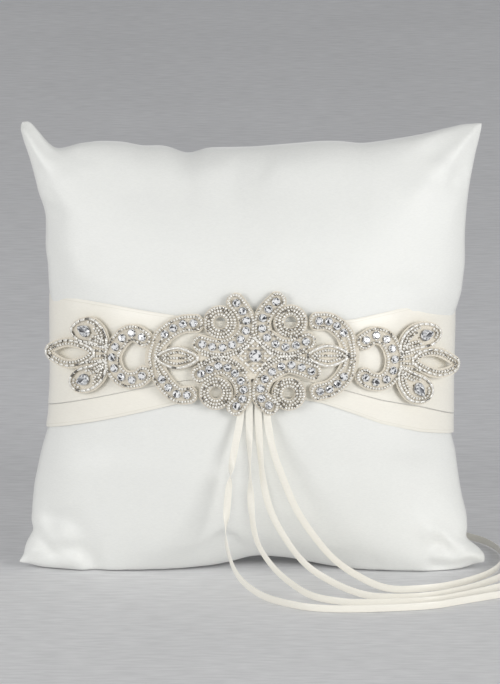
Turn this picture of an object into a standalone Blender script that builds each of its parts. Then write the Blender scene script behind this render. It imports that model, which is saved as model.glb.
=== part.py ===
"""A ring bearer pillow: a square knife-edge satin pillow stood on its lower edge, a satin sash
gathered round its middle, a beaded and jewelled applique stitched over the gather, and four
narrow ribbon tails that hang from under the applique and run along the surface it stands on.

Metres, +Z up. The applique faces -Y and the pillow rests on z = 0. Plan places on the applique
are (across, up) pairs in millimetres from its centre stone, since that is how such a motif is
drawn out before it is beaded."""

import bmesh
import bpy
import numpy as np

MM = 0.001
GAP = 0.3 * MM

# The pillow, measured flat between opposite corners' seams
SIDE = 0.198
THICKNESS = 0.092
SIDE_PULL = 0.0125
TOP_PULL = 0.009
COVER = 0.001
FILL_SHORT = 0.004
LEAN = np.radians(8)
SEAM_Y = -0.0105
SINK = 0.011  # how much of its lower edge the stuffing flattens against the floor
MIDDLE = SIDE / 2 - SINK
EAR_FROM = 0.72
EAR_TO = 0.95
EAR_HIGH = 0.034
EAR_LIFT = 0.0007
GRID = 14

# The sash
SASH_WIDTH = 0.057
GATHER_WIDTH = 0.036
SASH_THICK = 0.0006
SASH_UP = -0.004
SASH_COLUMNS = 44
SASH_ROWS = 4

# The applique
APPLIQUE_UP = 0.0025
BEAD = 1.35
STONE = 3.5
STONE_HIGH = 2.2
ROW_SPACE = 0.2
CENTRE_STONE = 5.0
TACK_THICK = 0.0005
BACKING_THICK = 0.0005
STIFF_FROM = 0.078
ROW_OFFSET = STONE / 2 + ROW_SPACE + BEAD / 2

# The ribbon tails
RIBBON = 0.003
RIBBON_STEP = 0.008

# Heights of the layers over the pillow's face
SASH_AT = 2 * GAP
TACK_AT = SASH_AT + SASH_THICK + GAP
BACKING_AT = TACK_AT + TACK_THICK + GAP
BEADS_AT = BACKING_AT + BACKING_THICK + GAP

# Centre lines of the four scrolls, from the tip beside the middle axis to the outer tip
SCROLLS = {
    "upper_left": [(-7.9, 21.9), (-4.0, 15.0), (-5.6, 7.6), (-13.1, 3.6), (-20.9, 4.6)],
    "upper_right": [(9.1, 21.9), (4.0, 15.2), (5.8, 7.8), (13.1, 3.7), (21.7, 6.0)],
    "lower_left": [(-7.1, -20.7), (-4.4, -15.4), (-6.6, -8.6), (-13.7, -4.4), (-21.7, -7.8)],
    "lower_right": [(6.4, -20.5), (3.6, -14.2), (7.0, -7.2), (14.8, -3.8), (22.9, -6.6)],
}
SCROLL_STONES = 9

# Centres of the four coiled rings
RINGS = {
    "upper_left": (-14.2, 13.8),
    "upper_right": (15.1, 14.0),
    "lower_left": (-15.4, -15.0),
    "lower_right": (14.4, -15.3),
}
RING_OUTER = 6.0
RING_INNER = 2.2

# The large C on each side, the stones along its two arms, and the leaf inside it
LARGE_CS = {
    "left": [(-24.4, 13.4), (-31.5, 12.2), (-38.2, 7.0), (-40.6, -0.8), (-37.6, -9.2),
             (-31.8, -15.2), (-26.4, -15.8)],
    "right": [(25.2, 14.4), (31.8, 13.8), (37.6, 8.4), (39.6, 0.0), (37.6, -7.6),
              (32.2, -13.0), (25.6, -14.8)],
}
ARM_STONES = 4
ARM_SHARE = 0.34
LEAVES = {"left": (-29.5, -0.7), "right": (28.6, 0.2)}
LEAF_LONG = 6.0
LEAF_HIGH = 2.7

# The small C on each side, open towards the middle
SMALL_CS = {
    "left": [(-46.6, 6.6), (-50.5, 7.8), (-54.6, 5.6), (-56.8, -0.6), (-54.6, -6.6),
             (-50.5, -9.2), (-46.4, -8.2)],
    "right": [(47.0, 6.0), (51.2, 7.4), (55.2, 5.0), (57.0, -1.4), (55.4, -7.6),
              (51.4, -10.4), (47.0, -9.0)],
}
SMALL_C_STONES = 8

# Centre lines of the bead loops that draw the three petals at each end
PETALS = {
    "left_middle": [(-62.8, 0.8), (-68.5, 3.4), (-76.0, 4.2), (-82.4, 1.8), (-83.6, 0.0),
                    (-82.0, -2.2), (-76.0, -4.4), (-68.5, -3.0)],
    "left_upper": [(-62.6, 5.2), (-62.6, 9.8), (-66.6, 13.8), (-71.4, 12.2), (-72.8, 9.8),
                   (-70.6, 7.9), (-66.4, 6.8)],
    "left_lower": [(-62.6, -4.0), (-63.4, -9.2), (-67.4, -13.0), (-72.2, -13.8), (-74.0, -11.4),
                   (-71.6, -8.2), (-66.6, -6.4)],
    "right_middle": [(63.6, -2.0), (68.8, 0.6), (75.6, 0.0), (81.8, -3.4), (83.0, -5.2),
                     (81.2, -7.4), (75.4, -8.4), (68.8, -6.4)],
    "right_upper": [(62.4, 2.0), (63.4, 7.0), (68.2, 10.6), (73.4, 10.6), (75.6, 8.2),
                    (73.6, 5.2), (68.0, 4.2)],
    "right_lower": [(61.8, -7.0), (61.6, -12.4), (65.4, -18.0), (70.2, -18.4), (72.2, -15.6),
                    (70.4, -12.2), (66.2, -9.8)],
}
# Teardrop stones in the outer petals: where, and which way the point lies
TEARDROPS = {
    "left_upper": ((-68.2, 10.2), 155),
    "left_lower": ((-69.2, -10.6), 205),
    "right_upper": ((69.6, 7.4), 20),
    "right_lower": ((67.4, -14.2), 300),
}
TEARDROP_LONG = 4.6
TEARDROP_WIDE = 2.4

# The outline of the backing at places across the applique: (across, lower edge, upper edge)
BACKING = [(-84.6, -1.2, 1.2), (-80, -4.8, 4.4), (-74.5, -13.5, 8.5), (-70, -15.2, 14.2),
           (-64, -12.5, 14.0), (-58, -8.0, 8.0), (-50, -12.4, 11.0), (-44, -8.5, 8.5),
           (-38, -13.0, 11.0), (-30, -19.0, 16.4), (-22, -19.0, 17.0), (-14, -21.5, 20.5),
           (-6, -24.4, 24.0), (0, -20.5, 20.5), (6, -24.4, 24.4), (15, -21.5, 20.5),
           (24, -18.5, 18.0), (31, -17.5, 17.2), (38, -11.0, 11.5), (44, -8.0, 8.5),
           (51, -13.6, 10.6), (58, -8.5, 7.5), (63, -16.0, 9.0), (70, -20.0, 12.2),
           (75, -12.0, 10.5), (80, -8.6, -0.4), (84, -6.0, -4.2)]
BACKING_STEP = 4.0
BACKING_ROWS = 4

# The ribbon tails: how far across each one leaves the tack, and then its centre line in
# millimetres in the part's own frame
TAIL_EXITS = (-6.3, -1.9, 2.5, 6.9)
TAILS = [
    [(-9.4, -51.6, 48.0), (-11.3, -52.4, 26.0), (-10.5, -55.0, 15.6),
     (-5.9, -64.0, 6.6), (3.8, -77.0, 2.0), (17.2, -92.0, 1.7), (29.4, -98.0, 1.7),
     (46.6, -98.5, 1.7), (72.2, -93.5, 1.7), (86.0, -85.0, 1.7), (103.7, -73.0, 1.7),
     (119.0, -63.0, 1.7), (134.0, -50.0, 1.7)],
    [(-1.3, -51.8, 48.0), (-0.4, -52.6, 29.5), (2.1, -55.0, 18.6),
     (8.0, -62.0, 10.8), (15.5, -70.0, 5.6), (24.4, -79.0, 2.4), (36.1, -86.0, 1.7),
     (46.6, -88.0, 1.7), (72.2, -84.5, 1.7), (87.0, -75.0, 1.7), (103.7, -59.5, 1.7),
     (117.0, -46.0, 1.7), (128.0, -31.0, 1.7)],
    [(3.8, -51.8, 48.0), (7.1, -53.0, 33.0), (13.9, -56.0, 20.4),
     (22.3, -62.0, 11.2), (33.6, -68.5, 5.2), (44.9, -75.0, 2.2), (55.0, -78.5, 1.7),
     (72.2, -76.0, 1.7), (89.5, -63.0, 1.7), (103.7, -43.0, 1.7), (112.0, -26.0, 1.7),
     (117.0, -8.0, 1.7), (118.5, 8.0, 1.7)],
    [(8.2, -51.2, 58.2), (12.2, -52.4, 46.6), (18.0, -53.4, 33.0),
     (26.0, -55.6, 21.2), (34.4, -59.0, 12.4), (44.9, -62.5, 6.0), (55.0, -64.5, 2.2),
     (65.5, -64.8, 1.7), (80.6, -58.6, 1.7), (94.5, -44.0, 1.7), (102.0, -29.0, 1.7),
     (105.0, -13.0, 1.7), (104.5, 4.0, 1.7), (99.0, 20.0, 1.7), (90.0, 32.0, 1.7)],
]
TACK_HALF_WIDE = 8.6
TACK_UP = (-24.8, -12.0)


def material(name, colour, roughness, metallic=0.0):
    made = bpy.data.materials.new(name)
    made.use_nodes = True
    shader = made.node_tree.nodes["Principled BSDF"]
    shader.inputs["Base Color"].default_value = (*colour, 1)
    shader.inputs["Roughness"].default_value = roughness
    shader.inputs["Metallic"].default_value = metallic
    return made


def add_piece(name, mesh_builder, finish, sharp_angle=40):
    """One named object from a bmesh, with its faces turned out and round parts shaded smooth."""
    bmesh.ops.recalc_face_normals(mesh_builder, faces=mesh_builder.faces)
    if mesh_builder.calc_volume(signed=True) < 0:
        bmesh.ops.reverse_faces(mesh_builder, faces=mesh_builder.faces)
    mesh = bpy.data.meshes.new(name)
    mesh_builder.to_mesh(mesh)
    mesh_builder.free()
    mesh.materials.append(finish)
    mesh.shade_smooth()
    mesh.set_sharp_from_angle(angle=np.radians(sharp_angle))
    piece = bpy.data.objects.new(name, mesh)
    bpy.context.scene.collection.objects.link(piece)
    return piece


# ---- The pillow's shape -------------------------------------------------------------------
# Every point of the pillow is named by s across and t up, each from -1 at one seam to 1 at the
# other. The seams pull in between the corners, and the corners stand out as ears.


def half_width(t, inset=0.0):
    return SIDE / 2 - SIDE_PULL * (1 - t**4) - inset


def half_height(s, t, inset=0.0):
    pull = np.where(t > 0, TOP_PULL, 0.0)
    return SIDE / 2 - pull * (1 - s**4) - inset


def depth(s, t, inset=0.0):
    room = np.clip(1 - s * s, 0, 1) * np.clip(1 - t * t, 0, 1)
    return (THICKNESS / 2 - inset) * np.sqrt(room)


def leaned(x, v, w, floor=0.0):
    """Stands the pillow's own plane up, leaning back. What would pass the floor is pushed up
    along that plane, so that the front and the back stay apart where they flatten."""
    v = np.maximum(v, (floor - w * np.sin(LEAN)) / np.cos(LEAN))
    y = SEAM_Y + v * np.sin(LEAN) - w * np.cos(LEAN)
    z = v * np.cos(LEAN) + w * np.sin(LEAN)
    return np.stack(np.broadcast_arrays(x, y, z), axis=-1)


def ease(value, low, high):
    share = np.clip((value - low) / (high - low), 0, 1)
    return share * share * (3 - 2 * share)


def eared(s, v):
    """The weight flattens the lower edge, while the ears at its two ends bend up off the floor."""
    return v + (SINK + EAR_LIFT) * ease(np.abs(s), EAR_FROM, EAR_TO) * (1 - ease(v, -SINK, EAR_HIGH))


def skin(front, inset, short, seam):
    """A grid of points over the front (1) or the back (-1) of the pillow: inset from its face,
    short of its seams and of the floor, and held off the plane of the seams."""
    steps = np.sin(np.linspace(-np.pi / 2, np.pi / 2, GRID + 1))
    s, t = np.meshgrid(steps, steps, indexing="ij")
    w = front * (depth(s, t, inset) + seam)
    v = eared(s, MIDDLE + t * half_height(s, t, short))
    return leaned(s * half_width(t, short), v, w, short)


def face_of(x, v):
    """How far the pillow's front stands out at x across and v up its plane."""
    s, t = x / half_width(0.0), (v - MIDDLE) / (SIDE / 2)
    for _ in range(12):
        s = np.clip(x / half_width(t), -1, 1)
        t = np.clip((v - MIDDLE) / half_height(s, t), -1, 1)
    return depth(s, t)


def add_grid(builder, points, wrap=False):
    """Quads over a grid of points. wrap joins its last column to its first."""
    made = [[builder.verts.new(p) for p in column] for column in points]
    columns = made + made[:1] if wrap else made
    for a, b in zip(columns, columns[1:], strict=False):
        for k in range(len(a) - 1):
            builder.faces.new((a[k], b[k], b[k + 1], a[k + 1]))
    return made


def border(grid):
    """The vertices round the edge of a grid, in order."""
    last = [column[-1] for column in grid]
    first = [column[0] for column in grid]
    return grid[0] + last[1:] + grid[-1][-2::-1] + first[-2:0:-1]


def add_rim(builder, outer, inner):
    for k in range(len(outer)):
        n = (k + 1) % len(outer)
        builder.faces.new((outer[k], outer[n], inner[n], inner[k]))


def plate(name, outer, inner, finish, wrap=False):
    """A closed sheet between two grids of points."""
    builder = bmesh.new()
    a, b = add_grid(builder, outer, wrap), add_grid(builder, inner, wrap)
    if wrap:
        add_rim(builder, [c[0] for c in a], [c[0] for c in b])
        add_rim(builder, [c[-1] for c in a], [c[-1] for c in b])
    else:
        add_rim(builder, border(a), border(b))
    return add_piece(name, builder, finish)


def pillow(satin, wadding):
    seam = GAP / 2
    plate("cover_front", skin(1, 0.0, 0.0, seam), skin(1, COVER, COVER, seam), satin)
    plate("cover_back", skin(-1, 0.0, 0.0, seam), skin(-1, COVER, COVER, seam), satin)
    builder = bmesh.new()
    for front in (1, -1):
        add_grid(builder, skin(front, COVER + 2 * GAP, FILL_SHORT, 0.0))
    bmesh.ops.remove_doubles(builder, verts=builder.verts, dist=GAP / 100)
    add_piece("fibre_fill", builder, wadding)


# ---- The sash -----------------------------------------------------------------------------


def sash_point(angle, up):
    """A point of the pillow's girth. angle runs round it, up from 0 to 1 across the sash."""
    s, front = np.sin(angle), np.cos(angle)
    gather = np.clip(front, 0, 1) ** 2
    wide = SASH_WIDTH + (GATHER_WIDTH - SASH_WIDTH) * gather
    v = MIDDLE + SASH_UP + (up - 0.5) * wide
    t = (v - MIDDLE) / (SIDE / 2)
    w = front * depth(0.0, t)
    return leaned(s * half_width(t), v, w)


def sash(satin):
    """One band right round the pillow, drawn in to a narrower gather at the middle of the front."""
    nudge = 1e-4
    layers = {lift: [] for lift in (SASH_AT, SASH_AT + SASH_THICK)}
    for angle in np.linspace(0, 2 * np.pi, SASH_COLUMNS, endpoint=False):
        columns = {lift: [] for lift in layers}
        for up in np.linspace(0, 1, SASH_ROWS + 1):
            along = sash_point(angle + nudge, up) - sash_point(angle - nudge, up)
            across = sash_point(angle, up + nudge) - sash_point(angle, up - nudge)
            out = np.cross(along, across)
            out /= np.linalg.norm(out)
            for lift in layers:
                columns[lift].append(sash_point(angle, up) + out * lift)
        for lift in layers:
            layers[lift].append(columns[lift])
    plate("sash_band", layers[SASH_AT + SASH_THICK], layers[SASH_AT], satin, wrap=True)


# ---- What lies on the face ----------------------------------------------------------------


def bed(across, up, lift):
    """A point over the pillow's face, from plan millimetres. Past STIFF_FROM the stiff applique
    runs straight on instead of bending round to the side seam."""

    def surface(x, v):
        near = np.clip(x, -STIFF_FROM, STIFF_FROM)
        inner = near - np.sign(near) * MM
        slope = (face_of(near, v) - face_of(inner, v)) / MM
        return face_of(near, v) + slope * np.abs(x - near)

    x, v = across * MM, MIDDLE + APPLIQUE_UP + up * MM
    step = MM / 2
    rise_x = (surface(x + step, v) - surface(x - step, v)) / MM
    rise_v = (surface(x, v + step) - surface(x, v - step)) / MM
    out = np.array([-rise_x, -rise_v, 1.0])
    out /= np.linalg.norm(out)
    return leaned(x + out[0] * lift, v + out[1] * lift, surface(x, v) + out[2] * lift)


def smooth(points, step, closed=False):
    """Evenly spaced points on a Catmull-Rom curve through the given ones."""
    p = np.array(points, float)
    if closed:
        p = np.concatenate([p[-1:], p, p[:2]])
    else:
        p = np.concatenate([[2 * p[0] - p[1]], p, [2 * p[-1] - p[-2]]])
    fine = []
    for a, b, c, d in zip(p, p[1:], p[2:], p[3:], strict=False):
        for u in np.linspace(0, 1, 24, endpoint=False):
            curve = (2 * b, c - a, 2 * a - 5 * b + 4 * c - d, 3 * b - a - 3 * c + d)
            fine.append(sum(part * u**k for k, part in enumerate(curve)) / 2)
    fine.append(p[-2])
    return spaced(np.array(fine), step, closed)


def spaced(line, step, closed=False):
    run = np.concatenate([[0], np.cumsum(np.linalg.norm(np.diff(line, axis=0), axis=1))])
    count = max(4, round(run[-1] / step))
    at = np.linspace(0, run[-1], count + 1)[: count if closed else None]
    return np.stack([np.interp(at, run, line[:, k]) for k in range(line.shape[1])], axis=1)


def sideways(path, closed=False):
    """Unit vectors square to a plan path, to its left."""
    if closed:
        ahead = np.roll(path, -1, axis=0) - np.roll(path, 1, axis=0)
    else:
        ahead = np.gradient(path, axis=0)
    ahead /= np.linalg.norm(ahead, axis=1, keepdims=True)
    return np.stack([-ahead[:, 1], ahead[:, 0]], axis=1)


def loft(name, rings, finish, closed=False):
    """A solid through a row of outlines, with capped ends unless it closes on itself."""
    builder = bmesh.new()
    made = [[builder.verts.new(p) for p in ring] for ring in rings]
    for a, b in zip(made, made[1:] + made[:1] if closed else made[1:], strict=False):
        add_rim(builder, a, b)
    if not closed:
        builder.faces.new(made[0])
        builder.faces.new(made[-1])
    return add_piece(name, builder, finish)


def rows_of_beads(name, path, width, finish, closed=False):
    """Strung beads laid side by side along a plan path: flat below and rounded above."""
    side = sideways(path, closed)
    section = [(-0.5, 0.0), (0.5, 0.0), (0.42, 0.7), (0.0, 1.0), (-0.42, 0.7)]
    rings = []
    for place, out in zip(path, side, strict=True):
        ring = [(place + out * width * a, BEADS_AT + BEAD * MM * b) for a, b in section]
        rings.append([bed(x, up, lift) for (x, up), lift in ring])
    loft(name, rings, finish, closed)


def strand_of_stones(name, path, count, finish):
    """Round stones in metal cups, joined cup to cup by a narrow link, along a plan path."""
    run = np.concatenate([[0], np.cumsum(np.linalg.norm(np.diff(path, axis=0), axis=1))])
    side = sideways(path)
    pitch = (run[-1] - STONE) / (count - 1)
    link_wide, link_high = 0.3, 0.25
    stations = []
    for k in range(count):
        middle = STONE / 2 + k * pitch
        for at, wide, high in ((-0.49, 0.62, 0.62), (-0.2, 1, 1), (0.2, 1, 1), (0.49, 0.62, 0.62)):
            stations.append((middle + at * STONE, wide, high))
        if k < count - 1:
            link = min(0.4, (pitch - STONE) * 0.3)
            stations.append((middle + STONE / 2 + link / 2, link_wide, link_high))
            stations.append((middle + pitch - STONE / 2 - link / 2, link_wide, link_high))
    rings = []
    for at, wide, high in stations:
        place = np.array([np.interp(at, run, path[:, k]) for k in range(2)])
        half = np.array([np.interp(at, run, side[:, k]) for k in range(2)]) * STONE * wide / 2
        corners = ((-half, 0), (half, 0), (0.6 * half, high), (-0.6 * half, high))
        rings.append([bed(*(place + off), BEADS_AT + STONE_HIGH * MM * up) for off, up in corners])
    loft(name, rings, finish)


def gem(name, outline, high, finish):
    """A cut stone: its outline at the girdle, drawn in to a flat table above."""
    centre = np.mean(outline, axis=0)
    levels = [(0.8, 0.0), (1.0, 0.35), (1.0, 0.5), (0.6, 1.0)]
    rings = [[bed(*(centre + (p - centre) * share), BEADS_AT + high * MM * up) for p in outline]
             for share, up in levels]
    loft(name, rings, finish)


def teardrop(centre, heading):
    """The outline of a pear-cut stone, its point along the heading in degrees."""
    turn = np.radians(heading)
    along, over = np.array([np.cos(turn), np.sin(turn)]), np.array([-np.sin(turn), np.cos(turn)])
    points = []
    for angle in np.linspace(0, 2 * np.pi, 10, endpoint=False):
        taper = (1 - np.cos(angle)) / 2
        x = TEARDROP_LONG / 2 * np.cos(angle)
        y = TEARDROP_WIDE / 2 * np.sin(angle) * (0.55 + 0.65 * taper)
        points.append(np.array(centre) + along * x + over * y)
    return np.array(points)


def round_outline(centre, radius, count):
    turns = np.linspace(0, 2 * np.pi, count, endpoint=False)
    return np.array(centre) + radius * np.stack([np.cos(turns), np.sin(turns)], axis=1)


def backing(net):
    """The net that the beads are sewn to, cut to the motif's upper and lower outline."""
    table = np.array(BACKING)
    count = round((table[-1, 0] - table[0, 0]) / BACKING_STEP)
    layers = {lift: [] for lift in (BACKING_AT, BACKING_AT + BACKING_THICK)}
    for x in np.linspace(table[0, 0], table[-1, 0], count + 1):
        low, high = (np.interp(x, table[:, 0], table[:, k]) for k in (1, 2))
        for lift in layers:
            layers[lift].append([bed(x, up, lift) for up in np.linspace(low, high, BACKING_ROWS + 1)])
    plate("applique_backing", layers[BACKING_AT + BACKING_THICK], layers[BACKING_AT], net)


def jewelled_row(name, points, count, beads, crystal):
    """A strand of stones with a row of seed beads down each side."""
    path = smooth(points, 2.6)
    side = sideways(path)
    rows_of_beads(f"{name}_beads_left", path + side * ROW_OFFSET, BEAD, beads)
    rows_of_beads(f"{name}_beads_right", path - side * ROW_OFFSET, BEAD, beads)
    strand_of_stones(f"{name}_stones", path, count, crystal)


def large_c(name, points, beads, crystal):
    """A broad C: a row of beads down each side, and stones on both arms but not on the spine."""
    path = smooth(points, 3.0)
    side = sideways(path)
    rows_of_beads(f"{name}_beads_left", path + side * ROW_OFFSET, BEAD, beads)
    rows_of_beads(f"{name}_beads_right", path - side * ROW_OFFSET, BEAD, beads)
    fine = smooth(points, 0.8)
    arm = round(len(fine) * ARM_SHARE)
    strand_of_stones(f"{name}_upper_stones", fine[:arm], ARM_STONES, crystal)
    strand_of_stones(f"{name}_lower_stones", fine[-arm:], ARM_STONES, crystal)


def applique(net, beads, crystal):
    backing(net)
    for place, points in SCROLLS.items():
        jewelled_row(f"scroll_{place}", points, SCROLL_STONES, beads, crystal)
    ring_middle, ring_wide = (RING_OUTER + RING_INNER) / 2, RING_OUTER - RING_INNER
    for place, centre in RINGS.items():
        path = round_outline(centre, ring_middle, 14)
        rows_of_beads(f"ring_{place}_beads", path, ring_wide, beads, closed=True)
    for place, points in LARGE_CS.items():
        large_c(f"large_c_{place}", points, beads, crystal)
    for place, (across, up) in LEAVES.items():
        outline = [(across - LEAF_LONG, up), (across, up + LEAF_HIGH),
                   (across + LEAF_LONG, up), (across, up - LEAF_HIGH)]
        path = smooth(outline, 2.4, closed=True)
        rows_of_beads(f"leaf_{place}_beads", path, 2 * BEAD, beads, closed=True)
    for place, points in SMALL_CS.items():
        jewelled_row(f"small_c_{place}", points, SMALL_C_STONES, beads, crystal)
    for place, points in PETALS.items():
        path = smooth(points, 2.6, closed=True)
        rows_of_beads(f"petal_{place}_beads", path, 2 * BEAD, beads, closed=True)
    for place, (centre, heading) in TEARDROPS.items():
        gem(f"teardrop_{place}", teardrop(centre, heading), STONE_HIGH, crystal)
    reach = CENTRE_STONE / 2 + ROW_SPACE + BEAD * 1.5
    diamond = spaced(np.array([(reach, 0), (0, reach), (-reach, 0), (0, -reach), (reach, 0)]),
                     reach / 2, closed=True)
    rows_of_beads("centre_diamond_beads", diamond, BEAD, beads, closed=True)
    gem("centre_stone", round_outline((0, 0), CENTRE_STONE / 2 - ROW_SPACE, 10), STONE_HIGH, crystal)


# ---- The ribbon tails ---------------------------------------------------------------------


def tails(ribbon):
    """A stitched tack under the applique, and the four tails that leave its lower end."""
    layers = {lift: [] for lift in (TACK_AT, TACK_AT + TACK_THICK)}
    for x in np.linspace(-TACK_HALF_WIDE, TACK_HALF_WIDE, 5):
        for lift in layers:
            layers[lift].append([bed(x, up, lift) for up in np.linspace(*TACK_UP, 4)])
    plate("ribbon_tack", layers[TACK_AT + TACK_THICK], layers[TACK_AT], ribbon)
    lie = SASH_AT + SASH_THICK + GAP + RIBBON / 2
    for number, (across, route) in enumerate(zip(TAIL_EXITS, TAILS, strict=True), 1):
        start = bed(across, TACK_UP[0] - GAP / MM, lie) / MM
        curve = bpy.data.curves.new(f"ribbon_tail_{number}", "CURVE")
        curve.dimensions = "3D"
        curve.bevel_depth = RIBBON / 2
        curve.bevel_resolution = 2
        curve.use_fill_caps = True
        line = smooth(np.array([start, *route]) * MM, RIBBON_STEP)
        spline = curve.splines.new("POLY")
        spline.points.add(len(line) - 1)
        spline.points.foreach_set("co", np.insert(line, 3, 1.0, axis=1).ravel())
        curve.materials.append(ribbon)
        tail = bpy.data.objects.new(curve.name, curve)
        bpy.context.scene.collection.objects.link(tail)


def main():
    for old in list(bpy.data.objects):
        bpy.data.objects.remove(old, do_unlink=True)
    satin = material("white_satin", (0.80, 0.81, 0.79), 0.42)
    wadding = material("polyester_fill", (0.85, 0.85, 0.85), 0.95)
    ivory = material("ivory_satin", (0.88, 0.85, 0.76), 0.36)
    net = material("beige_net", (0.55, 0.49, 0.40), 0.9)
    beads = material("silver_lined_beads", (0.80, 0.78, 0.74), 0.2, 0.6)
    crystal = material("foiled_crystal", (0.85, 0.86, 0.88), 0.08, 0.85)
    pillow(satin, wadding)
    sash(ivory)
    applique(net, beads, crystal)
    tails(ivory)


main()
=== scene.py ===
# %% [markdown]
# # A ring bearer pillow
# A square satin pillow stands on its lower edge and leans back a little. A satin sash is gathered
# round its middle. Over the gather lies a beaded applique with crystal stones, and four narrow
# ribbons hang from under it and run away along the table.
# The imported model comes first. It fixes every size and place, so what is made here is laid on it.

import bpy
import numpy as np
from mathutils import Matrix, Vector


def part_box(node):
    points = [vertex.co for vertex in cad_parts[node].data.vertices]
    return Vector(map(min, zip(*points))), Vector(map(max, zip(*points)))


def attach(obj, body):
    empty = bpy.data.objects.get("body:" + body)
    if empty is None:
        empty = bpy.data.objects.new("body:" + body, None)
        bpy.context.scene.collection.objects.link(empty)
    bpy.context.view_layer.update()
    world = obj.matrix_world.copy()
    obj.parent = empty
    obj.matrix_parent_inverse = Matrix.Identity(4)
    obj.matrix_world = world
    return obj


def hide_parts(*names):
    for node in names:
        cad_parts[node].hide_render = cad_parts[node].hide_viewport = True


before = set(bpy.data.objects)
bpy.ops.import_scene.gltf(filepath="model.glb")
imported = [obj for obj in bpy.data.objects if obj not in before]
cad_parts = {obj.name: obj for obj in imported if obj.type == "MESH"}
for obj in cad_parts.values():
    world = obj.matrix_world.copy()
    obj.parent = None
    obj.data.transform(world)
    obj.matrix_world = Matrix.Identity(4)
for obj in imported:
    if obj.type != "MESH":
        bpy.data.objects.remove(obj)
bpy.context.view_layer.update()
MM = 0.001

# %% [markdown]
# ## The shape that everything lies on
# A stuffed square is not a square any more. Its seams pull in between the corners, the corners
# stay out as flat ears, and the middle swells. It could be drawn by hand, but cloth, sash and
# beads all have to lie on the same surface, so it is better written once as a rule.
# Each point is named by s across and t up, from -1 at one seam to 1 at the other.

# %% The rule for the pillow's surface
SIDE = 0.198
THICKNESS = 0.092
SIDE_PULL = 0.0125
TOP_PULL = 0.009
LEAN = np.radians(8)
SEAM_Y = -0.0105
SINK = 0.011
MIDDLE = SIDE / 2 - SINK


def half_width(t):
    return SIDE / 2 - SIDE_PULL * (1 - t**4)


def half_height(s, t):
    pull = np.where(t > 0, TOP_PULL, 0.0)
    return SIDE / 2 - pull * (1 - s**4)


def swell(s, t):
    """How full the pillow is, from 0 at the seams to 1 in the middle."""
    return np.sqrt(np.clip(1 - s * s, 0, 1) * np.clip(1 - t * t, 0, 1))


def depth(s, t):
    return THICKNESS / 2 * swell(s, t)


def leaned(x, v, w):
    """Stands the pillow's own plane up, leaning back, and flattens it where it meets the table."""
    v = np.maximum(v, -w * np.sin(LEAN) / np.cos(LEAN))
    y = SEAM_Y + v * np.sin(LEAN) - w * np.cos(LEAN)
    z = v * np.cos(LEAN) + w * np.sin(LEAN)
    return np.stack(np.broadcast_arrays(x, y, z), axis=-1)


def face_of(x, v):
    """How far the front stands out at x across and v up its plane."""
    t = (v - MIDDLE) / (SIDE / 2)
    for _ in range(12):
        s = np.clip(x / half_width(t), -1, 1)
        t = np.clip((v - MIDDLE) / half_height(s, t), -1, 1)
    return depth(s, t)


cover_low, cover_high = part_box("cover_front")
print("front cover", [round(side * 1000, 1) for side in cover_high - cover_low], "mm")

# %% [markdown]
# The applique is drawn out flat before it is beaded, so its places are (across, up) pairs in
# millimetres from the centre stone. This lays such a pair on the pillow, lifted by so much.
# The applique is stiff, so near the side seams it runs straight on.

# %% From the flat drawing to the pillow
APPLIQUE_UP = 0.0025
STIFF_FROM = 0.078


def unit(vectors):
    return vectors / np.linalg.norm(vectors, axis=-1, keepdims=True)


def stiff_face(x, v):
    near = np.clip(x, -STIFF_FROM, STIFF_FROM)
    inner = near - np.sign(near) * MM
    slope = (face_of(near, v) - face_of(inner, v)) / MM
    return face_of(near, v) + slope * np.abs(x - near)


def bed(across, up, lift):
    x, v = np.asarray(across) * MM, MIDDLE + APPLIQUE_UP + np.asarray(up) * MM
    step = MM / 2
    slope_x = (stiff_face(x + step, v) - stiff_face(x - step, v)) / MM
    slope_v = (stiff_face(x, v + step) - stiff_face(x, v - step)) / MM
    out = unit(np.stack(np.broadcast_arrays(-slope_x, -slope_v, 1.0), axis=-1))
    stand_out = stiff_face(x, v) + out[..., 2] * lift
    return leaned(x + out[..., 0] * lift, v + out[..., 1] * lift, stand_out)


print("centre stone sits at", np.round(bed(0, 0, 0.0) * 1000, 1), "mm")

# %% [markdown]
# ## Camera
# A long lens from well back, a little above the pillow's middle. It keeps the square of the
# pillow square, as a product picture does.

# %% Camera
AIM = Vector((-0.0013, -0.010, 0.095))
TILT = np.radians(12)
AWAY = 3.2
VIEW_WIDTH = 0.2873
bpy.ops.object.select_all(action="DESELECT")
bpy.ops.object.camera_add(location=AIM + AWAY * Vector((0, -np.cos(TILT), np.sin(TILT))))
camera = bpy.context.object
camera.rotation_euler = (AIM - camera.location).to_track_quat("-Z", "Y").to_euler()
camera.data.sensor_width = 36
camera.data.lens = camera.data.sensor_width * AWAY / VIEW_WIDTH
bpy.context.scene.camera = camera
print("lens", round(camera.data.lens), "mm")

# %% [markdown]
# ## The ribbon tails
# Four tails of 3 mm satin ribbon leave the stitched tack under the applique. A ribbon bends
# easily over its flat side and hardly at all over its edge. So each tail falls flat against the
# pillow, turns a quarter round on its way down, and stands on edge along the table, where it can
# curve away. A curve with a flat bevel could be tilted by hand, but the turn is easier to hold
# exactly when the strip is laid out point by point along its centre line.

# %% Even curves through given points
def run_of(line):
    """How far along the line each of its points is."""
    return np.concatenate([[0], np.cumsum(np.linalg.norm(np.diff(line, axis=0), axis=1))])


def spaced(line, step, closed=False):
    run = run_of(line)
    count = max(3, round(run[-1] / step))
    at = np.linspace(0, run[-1], count + 1)[: count if closed else None]
    return np.stack([np.interp(at, run, line[:, k]) for k in range(line.shape[1])], axis=1)


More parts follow.
